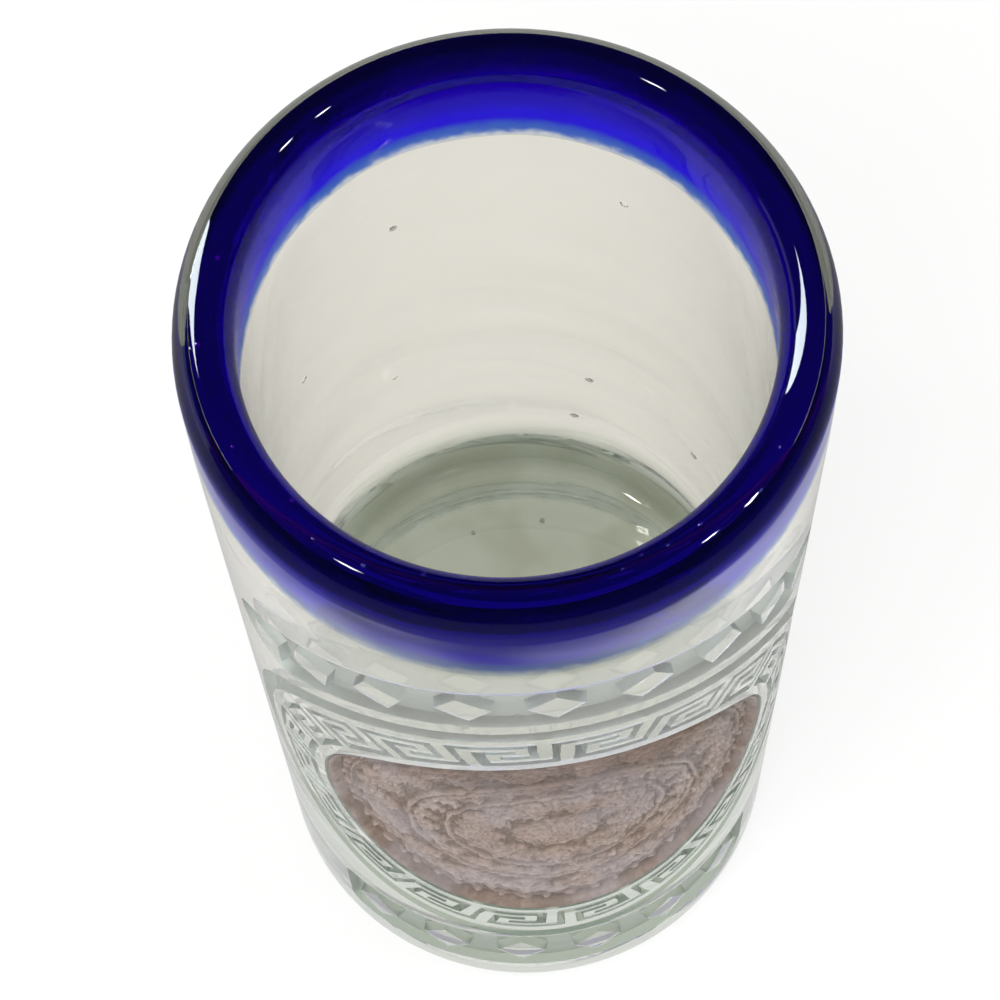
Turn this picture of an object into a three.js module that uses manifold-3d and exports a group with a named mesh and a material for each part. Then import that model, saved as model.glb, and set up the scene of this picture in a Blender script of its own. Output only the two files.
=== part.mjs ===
// Hand-blown double shot glass: a clear body with a heavy base, a cobalt lip fused inside its
// mouth and a round relief medallion bonded into a seat carved in the front of the wall.
// Millimetres, +Z up, the glass stands on Z = 0 and the medallion faces -Y.
import * as THREE from 'three';
import { mergeVertices } from 'three/addons/utils/BufferGeometryUtils.js';
import Module from 'manifold-3d';

const wasm = await Module();
wasm.setup();

// Overall form: the lip's outer edge sets the width, the wall draws in from there
const HEIGHT = 95.6;
const LIP_RADIUS = 23.0;
const LIP_THICKNESS = 4.3;
const LIP_HALF_HEIGHT = 2.8;
const LIP_SWELL = 0.45;
const NECK_DROP = 5.2;
const WALL_INSET = 0.7;
const BASE_CORNER = 3.2;
const PONTIL_RADIUS = 7.5;
const PONTIL_DEPTH = 0.8;

// Inside of the cup
const BASE_THICKNESS = 29.0;
const WALL_THICKNESS = 3.5;
const BORE_INSET = 0.2;
const COVE_RADIUS = 3.0;

// Cobalt lip: a wedge that is thick at the mouth and runs out down the inside of the wall
const COBALT_DEPTH = 10.2;
const COBALT_FOOT = 0.4;
const CASING_THICKNESS = 1.1;
const CASING_ANGLE = 48;
const FUSED_SEAM = 0.05;

// Medallion, the seat carved for it and the bonding film under it
const MEDALLION_RADIUS = 20.0;
const MEDALLION_PLATE = 0.45;
const MEDALLION_RELIEF = 0.5;
const SEAT_CLEARANCE = 0.25;
const SEAT_DEPTH = 2.0;
const FILM_THICKNESS = 0.2;
const FILM_GAP = 0.1;
const PETALS = 12;

// Carving round the medallion on the unrolled front wall, from the seat outward
const BADGE_LEVEL = 0.468;
const CARVING_DEPTH = 0.8;
const INNER_BORDER = 1.05;
const KEY_WIDTH = 4.4;
const KEY_COUNT = 20;
const KEY_LINE = 0.12;
const OUTER_BORDER = 1.2;
const GROOVE_WIDTH = 1.8;
const BANNER_GAP = 1.6;
const BANNER_WIDTH = 7.0;
const BANNER_HALF_ANGLE = 45;
const BANNER_STUDS = 9;
const PANEL_GAP = 0.4;
const PANEL_WIDTH = 9.4;
const PANEL_LENGTH = 42;
const PANEL_STUDS = 6;
const STUD_FILL = 0.62;

// Fineness of the round faces, and how far a cutter stands proud of the wall
const TURN_STEPS = 56;
const CUTTER_RISE = 0.6;

const lipCentreRadius = LIP_RADIUS - LIP_THICKNESS / 2;
const lipCentreZ = HEIGHT - LIP_HALF_HEIGHT;
const neckZ = lipCentreZ - NECK_DROP;
const neckRadius = LIP_RADIUS - LIP_SWELL;
const footZ = HEIGHT - COBALT_DEPTH;
const coveTop = BASE_THICKNESS + COVE_RADIUS;
const boreTopRadius = neckRadius - WALL_THICKNESS;
const boreFootRadius = boreTopRadius - BORE_INSET;

const badgeZ = HEIGHT * BADGE_LEVEL;
const badgeWallRadius = wallRadius(badgeZ);
const seatRadius = MEDALLION_RADIUS + SEAT_CLEARANCE;
const keyInner = seatRadius + INNER_BORDER;
const keyOuter = keyInner + KEY_WIDTH;
const grooveInner = keyOuter + OUTER_BORDER;
const grooveOuter = grooveInner + GROOVE_WIDTH;
const bannerRadius = grooveOuter + BANNER_GAP + BANNER_WIDTH / 2;
const panelZ = badgeZ - grooveOuter - PANEL_GAP - PANEL_WIDTH / 2;

function smooth(t) {
  return t * t * (3 - 2 * t);
}

// Radius of the straight outer wall, drawn in slightly towards the base
function wallRadius(z) {
  return neckRadius - WALL_INSET * (1 - z / neckZ);
}

// Radius of the inner wall between the cove and the lip
function boreRadius(z) {
  if (z > neckZ) {
    const lipInner = LIP_RADIUS - LIP_THICKNESS;
    return THREE.MathUtils.lerp(boreTopRadius, lipInner, smooth((z - neckZ) / NECK_DROP));
  }
  return THREE.MathUtils.lerp(boreFootRadius, boreTopRadius, (z - coveTop) / (neckZ - coveTop));
}

// Points of the lip's elliptical section, the angle counted up from the outer side
function lipArc(fromDegrees, toDegrees, steps) {
  const points = [];
  for (let i = 0; i <= steps; i++) {
    const angle = THREE.MathUtils.degToRad(fromDegrees + (toDegrees - fromDegrees) * i / steps);
    const r = lipCentreRadius + LIP_THICKNESS / 2 * Math.cos(angle);
    points.push(new THREE.Vector2(r, lipCentreZ + LIP_HALF_HEIGHT * Math.sin(angle)));
  }
  return points;
}

// Quarter of a circle or dish in the profile, from one angle to another
function circleArc(centreR, centreZ, radius, fromDegrees, toDegrees, steps) {
  const points = [];
  for (let i = 0; i <= steps; i++) {
    const angle = THREE.MathUtils.degToRad(fromDegrees + (toDegrees - fromDegrees) * i / steps);
    points.push(new THREE.Vector2(centreR + radius * Math.cos(angle), centreZ + radius * Math.sin(angle)));
  }
  return points;
}

// Line along which the clear casing and the cobalt glass meet, from the lip down to the foot
function seamLine(offset, steps) {
  const points = [];
  const top = LIP_RADIUS - CASING_THICKNESS;
  const foot = boreRadius(footZ) + COBALT_FOOT;
  for (let i = 0; i <= steps; i++) {
    const z = lipCentreZ + (footZ - lipCentreZ) * i / steps;
    points.push(new THREE.Vector2(THREE.MathUtils.lerp(top, foot, smooth(i / steps)) - offset, z));
  }
  return points;
}

// Inner wall from one height down to another, in even steps
function boreLine(fromZ, toZ, steps) {
  const points = [];
  for (let i = 0; i <= steps; i++) {
    const z = fromZ + (toZ - fromZ) * i / steps;
    points.push(new THREE.Vector2(boreRadius(z), z));
  }
  return points;
}

// Closed mesh from a triangle list: merged by position, empty triangles dropped, faces turned outward
function closedMesh(positions, triangles) {
  const raw = new THREE.BufferGeometry();
  raw.setAttribute('position', new THREE.Float32BufferAttribute(positions, 3));
  raw.setIndex(triangles);
  const merged = mergeVertices(raw, 1e-4);
  const p = merged.getAttribute('position').array;
  const index = merged.getIndex().array;
  const kept = [];
  let volume = 0;
  for (let i = 0; i < index.length; i += 3) {
    const [a, b, c] = [index[i], index[i + 1], index[i + 2]];
    if (a === b || b === c || c === a) continue;
    kept.push(a, b, c);
    const va = new THREE.Vector3().fromArray(p, a * 3);
    const vb = new THREE.Vector3().fromArray(p, b * 3);
    const vc = new THREE.Vector3().fromArray(p, c * 3);
    volume += va.dot(vb.cross(vc));
  }
  if (volume < 0) kept.reverse();
  return new wasm.Mesh({
    numProp: 3,
    vertProperties: new Float32Array(p),
    triVerts: new Uint32Array(kept),
  });
}

// Solid of revolution about Z from a profile of (radius, height) points
function turned(profile) {
  const lathe = new THREE.LatheGeometry(profile, TURN_STEPS);
  lathe.rotateX(Math.PI / 2);
  return new wasm.Manifold(closedMesh(lathe.getAttribute('position').array, [...lathe.getIndex().array]));
}

// Point on the front wall from arc length, height and distance above the wall's face
function onWall(arc, z, above) {
  const r = wallRadius(z) + above;
  const angle = arc / badgeWallRadius;
  return [r * Math.sin(angle), -r * Math.cos(angle), z];
}

// Even steps from 0 to 1
function even(count) {
  return Array.from({ length: count + 1 }, (_, i) => i / count);
}

// Slab that follows the wall. place(u, v) gives arc length and height at the steps us and vs, low and
// high give the two faces above the wall; ring joins the ends of v.
function wallSlab(us, vs, place, low, high, ring) {
  const uSteps = us.length - 1;
  const vSteps = vs.length - 1;
  const positions = [];
  const triangles = [];
  const at = (layer, i, j) => (layer * (uSteps + 1) + i) * (vSteps + 1) + j;
  const quad = (a, b, c, d) => triangles.push(a, b, c, a, c, d);
  for (const face of [low, high]) {
    for (let i = 0; i <= uSteps; i++) {
      for (let j = 0; j <= vSteps; j++) {
        const v = ring && j === vSteps ? vs[0] : vs[j];
        const [arc, z] = place(us[i], v);
        positions.push(...onWall(arc, z, face(us[i], v)));
      }
    }
  }
  for (let i = 0; i < uSteps; i++) {
    for (let j = 0; j < vSteps; j++) {
      quad(at(1, i, j), at(1, i, j + 1), at(1, i + 1, j + 1), at(1, i + 1, j));
      quad(at(0, i, j), at(0, i + 1, j), at(0, i + 1, j + 1), at(0, i, j + 1));
    }
  }
  for (let j = 0; j < vSteps; j++) {
    quad(at(0, 0, j), at(0, 0, j + 1), at(1, 0, j + 1), at(1, 0, j));
    quad(at(0, uSteps, j), at(1, uSteps, j), at(1, uSteps, j + 1), at(0, uSteps, j + 1));
  }
  for (let i = 0; i < uSteps && !ring; i++) {
    quad(at(0, i, 0), at(1, i, 0), at(1, i + 1, 0), at(0, i + 1, 0));
    quad(at(0, i, vSteps), at(0, i + 1, vSteps), at(1, i + 1, vSteps), at(1, i, vSteps));
  }
  return new wasm.Manifold(closedMesh(positions, triangles));
}

// Place on the unrolled wall at a distance and an angle from the badge's centre, 0 straight up
function aroundBadge(radius, degrees) {
  const angle = THREE.MathUtils.degToRad(degrees);
  return [radius * Math.sin(angle), badgeZ + radius * Math.cos(angle)];
}

// Sector of a ring about the badge's centre, as a slab
function ringSector(r0, r1, from, to, us, vs, low, high, ring) {
  const place = (u, v) => aroundBadge(r0 + (r1 - r0) * u, from + (to - from) * v);
  return wallSlab(us, vs, place, low, high, ring);
}

// Disc on the wall about a place, as a slab
function wallDisc(arc, z, radius, us, vs, low, high) {
  const place = (u, v) => {
    const angle = 2 * Math.PI * v;
    return [arc + radius * u * Math.sin(angle), z + radius * u * Math.cos(angle)];
  };
  return wallSlab(us, vs, place, low, high, true);
}

// Raised lozenge left standing in a carved ground, long axes along t and n
function lozenge(centre, t, n, halfLength, halfWidth) {
  const place = (u, v) => {
    const a = (u + v - 1) * halfLength;
    const b = (v - u) * halfWidth;
    return [centre[0] + a * t[0] + b * n[0], centre[1] + a * t[1] + b * n[1]];
  };
  return wallSlab(even(1), even(1), place, islandFoot, islandTop, false);
}

// Faces of the cutters, and of the islands that they leave standing
const proud = () => CUTTER_RISE;
const carved = () => -CARVING_DEPTH;
const islandFoot = () => -CARVING_DEPTH - CUTTER_RISE;
const islandTop = () => CUTTER_RISE * 2;

// Greek key: a carved ring in which each key stands as one bent line from border to border.
// Corners of a key's line, along the ring and across it, as parts of its pitch and of the ring's width
const keyPath = [[0.10, -0.10], [0.10, 0.80], [0.66, 0.80], [0.66, 0.53], [0.36, 0.53],
  [0.36, 0.24], [0.88, 0.24], [0.88, 1.10]];
const keyPitch = 360 / KEY_COUNT;

// Place on the left (side -1) or right edge of the line at one of its corners, mitred
function keyEdge(corner, side) {
  const [a, c] = keyPath[corner];
  const [a0, c0] = keyPath[Math.max(corner - 1, 0)];
  const [a1, c1] = keyPath[Math.min(corner + 1, keyPath.length - 1)];
  const half = side * KEY_LINE / 2;
  return [a + half * Math.sign(c1 - c0), c - half * Math.sign(a1 - a0)];
}

let keyGround = ringSector(keyInner, keyOuter, 0, 360, even(1), even(KEY_COUNT * 2), carved, proud, true);
for (let key = 0; key < KEY_COUNT; key++) {
  const place = (u, v) => {
    const [a, c] = keyEdge(Math.round(v * (keyPath.length - 1)), 2 * u - 1);
    return aroundBadge(keyInner + KEY_WIDTH * c, keyPitch * (key + a));
  };
  const line = wallSlab(even(1), even(keyPath.length - 1), place, islandFoot, islandTop, false);
  keyGround = keyGround.subtract(line);
}

// Rounded groove around the badge
const grooveFace = (u) => -CARVING_DEPTH * Math.sin(Math.PI * u);
const groove = ringSector(grooveInner, grooveOuter, 0, 360, even(2), even(TURN_STEPS),
  grooveFace, proud, true);

// Arched banner with round ends over the badge, and the straight panel under it
let banner = ringSector(bannerRadius - BANNER_WIDTH / 2, bannerRadius + BANNER_WIDTH / 2,
  -BANNER_HALF_ANGLE, BANNER_HALF_ANGLE, even(1), even(BANNER_STUDS * 2), carved, proud, false);
for (const side of [-1, 1]) {
  const end = aroundBadge(bannerRadius, side * BANNER_HALF_ANGLE);
  banner = banner.add(wallDisc(end[0], end[1], BANNER_WIDTH / 2, even(1), even(16), carved, proud));
}
for (let i = 0; i < BANNER_STUDS; i++) {
  const degrees = BANNER_HALF_ANGLE * (2 * i / (BANNER_STUDS - 1) - 1);
  const angle = THREE.MathUtils.degToRad(degrees);
  const pitch = 2 * THREE.MathUtils.degToRad(BANNER_HALF_ANGLE) * bannerRadius / (BANNER_STUDS - 1);
  const t = [Math.cos(angle), -Math.sin(angle)];
  const n = [Math.sin(angle), Math.cos(angle)];
  const stud = lozenge(aroundBadge(bannerRadius, degrees), t, n, pitch * STUD_FILL / 2,
    BANNER_WIDTH * STUD_FILL / 2);
  banner = banner.subtract(stud);
}
const panelPlace = (u, v) => [PANEL_LENGTH * (v - 0.5), panelZ + PANEL_WIDTH * (u - 0.5)];
let panel = wallSlab(even(1), even(PANEL_STUDS * 2), panelPlace, carved, proud, false);
for (let i = 0; i < PANEL_STUDS; i++) {
  const pitch = PANEL_LENGTH / PANEL_STUDS;
  const centre = [pitch * (i + 0.5 - PANEL_STUDS / 2), panelZ];
  const stud = lozenge(centre, [1, 0], [0, 1], pitch * STUD_FILL / 2, PANEL_WIDTH * STUD_FILL / 2);
  panel = panel.subtract(stud);
}

// Seat of the medallion
const seatTurns = even(PETALS * 4);
const seat = wallDisc(0, badgeZ, seatRadius, even(4), seatTurns, () => -SEAT_DEPTH, proud);

// Clear body: underside with a pontil hollow, wall, casing of the lip, seam, bore, cove and floor
const pontilDome = (PONTIL_RADIUS ** 2 + PONTIL_DEPTH ** 2) / (2 * PONTIL_DEPTH);
const pontilAngle = THREE.MathUtils.radToDeg(Math.asin(PONTIL_RADIUS / pontilDome));
const cornerR = wallRadius(BASE_CORNER) - BASE_CORNER;
const swell = [];
for (let i = 1; i < 4; i++) {
  const r = THREE.MathUtils.lerp(neckRadius, LIP_RADIUS, smooth(i / 4));
  swell.push(new THREE.Vector2(r, neckZ + NECK_DROP * i / 4));
}
const bodyProfile = [
  ...circleArc(0, PONTIL_DEPTH - pontilDome, pontilDome, 90, 90 - pontilAngle, 3),
  ...circleArc(cornerR, BASE_CORNER, BASE_CORNER, -90, 0, 5),
  new THREE.Vector2(neckRadius, neckZ),
  ...swell,
  ...lipArc(0, CASING_ANGLE, 3),
  ...seamLine(0, 5),
  ...boreLine(footZ, coveTop, 1),
  ...circleArc(boreFootRadius - COVE_RADIUS, coveTop, COVE_RADIUS, 0, -90, 4).slice(1),
  new THREE.Vector2(0, BASE_THICKNESS),
];
const body = turned(bodyProfile).subtract(seat).subtract(keyGround).subtract(groove).subtract(banner)
  .subtract(panel);

// Cobalt lip: crown of the mouth and the wedge that runs down the inside, standing on the body's ledge
const crownStart = CASING_ANGLE + THREE.MathUtils.radToDeg(FUSED_SEAM / LIP_HALF_HEIGHT);
const cobaltSeam = seamLine(FUSED_SEAM, 5);
cobaltSeam[cobaltSeam.length - 1].y += FUSED_SEAM;
const cobaltProfile = [
  ...boreLine(footZ + FUSED_SEAM, lipCentreZ, 4),
  ...lipArc(180, crownStart, 9).slice(1),
  ...cobaltSeam,
  new THREE.Vector2(boreRadius(footZ + FUSED_SEAM), footZ + FUSED_SEAM),
];
const cobalt = turned(cobaltProfile);

// Bonding film on the floor of the seat
const filmLow = () => FILM_GAP - SEAT_DEPTH;
const filmHigh = () => FILM_GAP + FILM_THICKNESS - SEAT_DEPTH;
const film = wallDisc(0, badgeZ, MEDALLION_RADIUS, even(4), seatTurns, filmLow, filmHigh);

// Medallion: a plate bent to the wall with a rosette in relief, rings of petals around a boss
const plateBack = FILM_GAP * 2 + FILM_THICKNESS - SEAT_DEPTH;
const petal = (v, count) => Math.abs(Math.sin(Math.PI * count * v));
// Rings of the rosette from the boss to the border: part of the radius, rise and number of petals
const ground = 0.15;
const rings = [[0, 1, 0], [0.12, 0.85, 0], [0.2, 0.35, 0], [0.27, ground, 0], [0.3, 0.5, PETALS / 2],
  [0.45, 0.95, PETALS / 2], [0.57, 0.3, PETALS / 2], [0.6, ground, 0], [0.63, 0.5, PETALS],
  [0.76, 0.9, PETALS], [0.88, 0.3, PETALS], [0.91, ground, 0], [0.93, 1, 0], [1, 1, 0]];
function medallionFace(u, v) {
  const [, rise, petals] = rings.find((ring) => ring[0] === u);
  const part = petals ? ground + (rise - ground) * petal(v, petals) : rise;
  return plateBack + MEDALLION_PLATE + MEDALLION_RELIEF * part;
}
const medallion = wallDisc(0, badgeZ, MEDALLION_RADIUS, rings.map((ring) => ring[0]), seatTurns,
  () => plateBack, medallionFace);

// Mesh node from a solid, with flat shading between its faces
function node(name, solid, color, roughness, metalness) {
  const mesh = solid.getMesh();
  const geometry = new THREE.BufferGeometry();
  const stride = mesh.numProp;
  const positions = [];
  for (let i = 0; i < mesh.vertProperties.length; i += stride) {
    positions.push(...mesh.vertProperties.subarray(i, i + 3));
  }
  geometry.setAttribute('position', new THREE.Float32BufferAttribute(positions, 3));
  geometry.setIndex([...mesh.triVerts]);
  geometry.computeVertexNormals();
  const made = new THREE.Mesh(geometry, new THREE.MeshStandardMaterial({ color, roughness, metalness }));
  made.name = name;
  return made;
}

const glass = new THREE.Group();
glass.name = 'double_shot_glass';
glass.add(node('clear_body', body, 0xd8dfd9, 0.08, 0));
glass.add(node('cobalt_lip', cobalt, 0x14046b, 0.06, 0));
glass.add(node('bonding_film', film, 0xe4ddcf, 0.4, 0));
glass.add(node('medallion', medallion, 0x9b8a84, 0.45, 0.6));

export default glass;
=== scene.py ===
import math
from collections import namedtuple
from functools import partialmethod

import bmesh
import bpy
import numpy as np
from mathutils import Matrix, Vector
from mathutils.geometry import delaunay_2d_cdt


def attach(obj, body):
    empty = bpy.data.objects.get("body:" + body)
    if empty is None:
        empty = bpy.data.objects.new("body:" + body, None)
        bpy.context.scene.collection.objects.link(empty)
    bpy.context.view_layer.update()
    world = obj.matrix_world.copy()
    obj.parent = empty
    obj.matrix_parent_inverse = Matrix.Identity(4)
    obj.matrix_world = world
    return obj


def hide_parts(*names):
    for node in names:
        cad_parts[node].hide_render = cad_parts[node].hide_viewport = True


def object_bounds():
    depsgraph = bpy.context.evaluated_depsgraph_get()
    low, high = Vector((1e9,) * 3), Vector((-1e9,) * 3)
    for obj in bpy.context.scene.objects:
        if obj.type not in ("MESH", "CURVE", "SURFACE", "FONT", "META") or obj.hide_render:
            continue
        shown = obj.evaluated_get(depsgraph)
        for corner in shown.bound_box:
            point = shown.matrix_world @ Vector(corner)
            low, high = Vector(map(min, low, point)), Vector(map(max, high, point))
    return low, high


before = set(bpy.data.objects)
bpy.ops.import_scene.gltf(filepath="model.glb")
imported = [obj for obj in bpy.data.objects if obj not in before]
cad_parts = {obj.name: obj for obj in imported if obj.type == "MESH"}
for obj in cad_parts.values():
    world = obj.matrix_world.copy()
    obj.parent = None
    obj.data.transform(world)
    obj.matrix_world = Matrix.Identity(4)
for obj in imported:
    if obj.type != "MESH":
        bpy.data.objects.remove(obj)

bl_info = {
    "name": "Double Shot Glass",
    "version": (1, 0, 0),
    "blender": (4, 5, 0),
    "location": "View3D > Sidebar > Shot Glass",
    "description": "Hand-blown double shot glass with a cobalt lip, a carved border and a relief medallion",
    "category": "Add Mesh",
}

CAD_BOX = [list(map(float, corner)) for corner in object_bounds()]
MM = 0.001

# Turned meshes: columns round each glass, rows along the seam and over the crown of the lip
BODY_COLUMNS = 120
LIP_COLUMNS = 160
SEAM_STEPS = 24
CROWN_STEPS = 26
# Rings on the flat of the base, and the heights of the wall's rows
BASE_RINGS = (11.0 * MM, 15.0 * MM)
WALL_ROWS = [5.0 * MM + 3.0 * MM * i for i in range(27)]
# Columns of the body between which the carved front takes the wall's place
FRONT_COLUMNS = (33, 87)
# Points closer than this are one point, and edges flatter than this are smooth
MERGE = 2e-6
SMOOTH_ANGLE = math.radians(30)

# Carving: one key's line, along its part of the ring and across it, from past one edge to past the other
KEY_PATH = [(0.10, -0.20), (0.10, 0.80), (0.66, 0.80), (0.66, 0.53), (0.36, 0.53), (0.36, 0.24), (0.88, 0.24),
            (0.88, 1.20)]
PANEL_CORNER = 1.2 * MM
# Points round the seat and the groove, and rings across the groove
SEAT_POINTS = 180
GROOVE_POINTS = 200
GROOVE_RINGS = 7
# Spacing along the key and the panel, and of the grid between outlines, with its least gap to them
KEY_STEP = 0.9 * MM
PANEL_STEP = 1.4 * MM
GRID_STEP = 1.1 * MM
GRID_GAP = 0.42 * MM
# A face with a corner past this share of frost belongs to the blasted ground
FROST_LEVEL = 0.45

# Blue edge: how much higher it runs at the sides, as a share of its tilt
SIDE_RISE = 0.45
# Depth under the blue edge over which the clear bore still follows it
FADE = 6 * MM
# Run of the blue at the seam, by the height from the feather edge, at 0, to the lip's centre, at 1
SEAM_RUN = [(0.0, 0.0), (0.12, 0.1), (0.25, 0.3), (0.38, 0.6), (0.5, 0.9), (0.65, 1.12), (0.82, 1.20),
            (1.0, 1.26), (1.3, 1.31)]
# Turn over the lip's crown that adds 1 to the run
CROWN_SWEEP = math.radians(120)

GLASS_IOR = 1.5
GLASS_ROUGHNESS = 0.015
# How much of the light the carved ground and the wall let through, and the depth of the ripples
CARVED_CLEARNESS, WALL_CLEARNESS = 0.80, 0.93
FLOW_DEPTH = 0.6 * MM

# Rosette: rings and spokes of its grid, the share of the rings on its face, and of the rest on its edge
ROSETTE_RINGS, ROSETTE_SPOKES = 151, 385
FACE_SHARE, EDGE_SHARE = 0.9, 0.2
# Its relief, in parts of the radius and of the relief. Rings: inner and outer edge, softness, height
RINGS = ((0.875, 0.885, 0.006, 0.60), (0.600, 0.622, 0.008, 0.75), (0.440, 0.458, 0.008, 0.75))
# Leaves: how many, inner and outer end, shift by a part of a leaf, sharpness, height
LEAVES = ((18, 0.64, 0.868, 0.0, 0.75, 1.0), (18, 0.70, 0.868, 0.5, 1.2, 0.8),
          (9, 0.20, 0.43, 0.0, 0.6, 1.0), (9, 0.24, 0.43, 0.5, 1.0, 0.78))
# How far the medallion's rim stays under the face of the wall
RIM_DROP = 0.12 * MM
# Heights between which painted shadow sets in on the medallion, under the upper edge of the seat
SEAT_SHADOW_HEIGHTS = (52.5 * MM, 58.5 * MM)

# Floor in reflections: bright close to the glass and less so behind it, and half bright far behind
BRIGHT_REACH, BRIGHT_TONE, DARK_TONE = (51.8 * MM, 57.8 * MM), 1.1, 0.03
REAR_FADE, REAR_TONE = (-40 * MM, 20 * MM), 0.45
FAR_FADE, FAR_TONE = (-100 * MM, 250 * MM), 0.6
# Share of the floor's own glow in a straight look, in reflections and through glass
STRAIGHT_GLOW, SHINE_GLOW, THROUGH_GLOW = 0.75, 0.9, 0.95
FLOOR_HALF, FLOOR_DROP = 3.0, 0.2 * MM

SENSOR_WIDTH = 36.0
LAMP_AIM = Vector((0, 0, 70 * MM))
BOUNCES = {"max_bounces": 48, "transmission_bounces": 24, "glossy_bounces": 40, "transparent_max_bounces": 24}

# Soft lamps: degrees round from the front and up, metres away, wide and tall, watts, colour,
# and whether matt surfaces and reflections show them
Lamp = namedtuple("Lamp", "name around up away wide tall power colour in_diffuse in_gloss")
WARM = (1.0, 0.97, 0.9)
LAMPS = (
    Lamp("key", -30, 60, 1.4, 0.9, 0.9, 17.0, (1.0, 1.0, 1.0), True, False),
    Lamp("window", -136, 32, 1.2, 0.26, 0.85, 14.0, (0.86, 0.96, 1.0), False, True),
    Lamp("sheen", -112, 2, 1.5, 0.9, 0.5, 0.7, (0.72, 0.90, 1.0), False, True),
    Lamp("lamp_left", -76, 68, 1.1, 0.06, 0.06, 0.7, WARM, True, True),
    Lamp("lamp_right", 61, 59, 1.1, 0.05, 0.05, 0.7, WARM, True, True),
    Lamp("lamp_side", 73, 53, 1.1, 0.05, 0.05, 0.7, WARM, True, True),
)


# Sizes, colours and stage settings

def length(name, description, millimetres, least=0.0):
    """A size in metres, written here in millimetres."""
    return bpy.props.FloatProperty(
        name=name, description=description, default=millimetres * MM, min=least * MM, unit="LENGTH",
        precision=5)


def angle_size(name, description, radians):
    """An angle."""
    return bpy.props.FloatProperty(name=name, description=description, default=radians, subtype="ANGLE")


def share(name, description, value):
    """A part of something, from 0 to 1."""
    return bpy.props.FloatProperty(
        name=name, description=description, default=value, min=0.0, max=1.0, subtype="FACTOR")


def tally(name, description, value, least):
    """A whole number of like things."""
    return bpy.props.IntProperty(name=name, description=description, default=value, min=least)


def tint(name, description, colour):
    """A linear colour."""
    return bpy.props.FloatVectorProperty(
        name=name, description=description, default=colour, size=3, min=0.0, max=1.0, subtype="COLOR")


class ShotGlassForm(bpy.types.PropertyGroup):
    height: length("Height", "Overall height", CAD_BOX[1][2] / MM)
    lip_radius: length("Lip radius", "Widest outer radius, on the lip", 23.0)
    lip_thickness: length("Lip thickness", "Width of the rolled lip", 4.3)
    lip_half_height: length("Lip half height", "Height of the lip above its widest point", 2.8)
    neck_drop: length("Neck drop", "Depth over which the lip runs into the wall", 7.5)
    wall_inset: length("Wall inset", "How far the wall draws in towards the base", 1.16)
    base_corner: length("Base corner", "Rounding of the base's edge", 3.2)
    pontil_radius: length("Pontil radius", "Hollow under the base", 7.5)
    pontil_depth: length("Pontil depth", "Depth of the hollow under the base", 0.8)
    base_thickness: length("Base thickness", "Solid glass under the drink", 29.0)
    wall_thickness: length("Wall thickness", "Wall under the lip", 3.95)
    bore_inset: length("Bore inset", "How far the inside draws in towards its floor", 0.2)
    cove: length("Cove", "Rounding between the inner wall and the floor", 3.0)
    cobalt_depth: length("Cobalt depth", "How far the blue glass runs down inside", 11.6)
    cobalt_foot: length("Cobalt foot", "Thickness of the blue glass at its feather edge", 0.12)
    cobalt_wave: length("Cobalt wave", "How far the feather edge wanders up and down", 0.22)
    cobalt_tilt: length(
        "Cobalt tilt", "How far the feather edge dips at the front and rises at the back", 1.4)
    casing: length("Casing", "Clear glass outside the blue", 1.7)
    casing_angle: angle_size("Casing angle", "Where the clear casing ends on the lip", math.radians(68))
    seam: length("Seam", "Width of the fused seam", 0.02)


class ShotGlassCarving(bpy.types.PropertyGroup):
    level: share("Badge level", "Height of the badge's centre as a part of the whole", 0.468)
    depth: length("Depth", "Depth of the carved ground", 0.8)
    bevel: length("Bevel", "Slope of the carved edges", 0.22)
    medallion_radius: length("Medallion radius", "Radius of the relief medallion", 20.0)
    seat_clearance: length("Seat clearance", "Room round the medallion", 0.25)
    seat_depth: length("Seat depth", "Depth of the medallion's seat", 2.0)
    inner_border: length("Inner border", "Plain line inside the key ring", 1.05)
    key_width: length("Key width", "Width of the key ring", 4.4)
    key_count: tally("Keys", "Keys round the ring", 20, 6)
    key_line: share("Key line", "Line width as a part of a key", 0.13)
    outer_border: length("Outer border", "Plain line outside the key ring", 1.2)
    groove_width: length("Groove width", "Groove round the badge", 1.8)
    banner_gap: length("Banner gap", "Wall between the groove and the banner", 1.6)
    banner_width: length("Banner width", "Width of the arched banner", 7.0)
    banner_half_angle: angle_size("Banner half angle", "Reach of the banner to each side", math.radians(45))
    banner_studs: tally("Banner studs", "Lozenges in the banner", 9, 2)
    panel_gap: length("Panel gap", "Wall between the groove and the panel", 0.4)
    panel_width: length("Panel width", "Height of the straight panel", 9.4)
    panel_length: length("Panel length", "Length of the straight panel along the wall", 42.0)
    panel_studs: tally("Panel studs", "Lozenges in the panel", 6, 2)
    stud_fill: share("Stud fill", "Lozenge size as a part of its space", 0.62)
    film_gap: length("Film gap", "Gap on each side of the bonding film", 0.1)
    film: length("Film", "Thickness of the bonding film", 0.2)
    plate: length("Plate", "Thickness of the medallion's plate", 0.45)
    relief: length("Relief", "Height of the rosette above the plate", 0.5)


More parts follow.
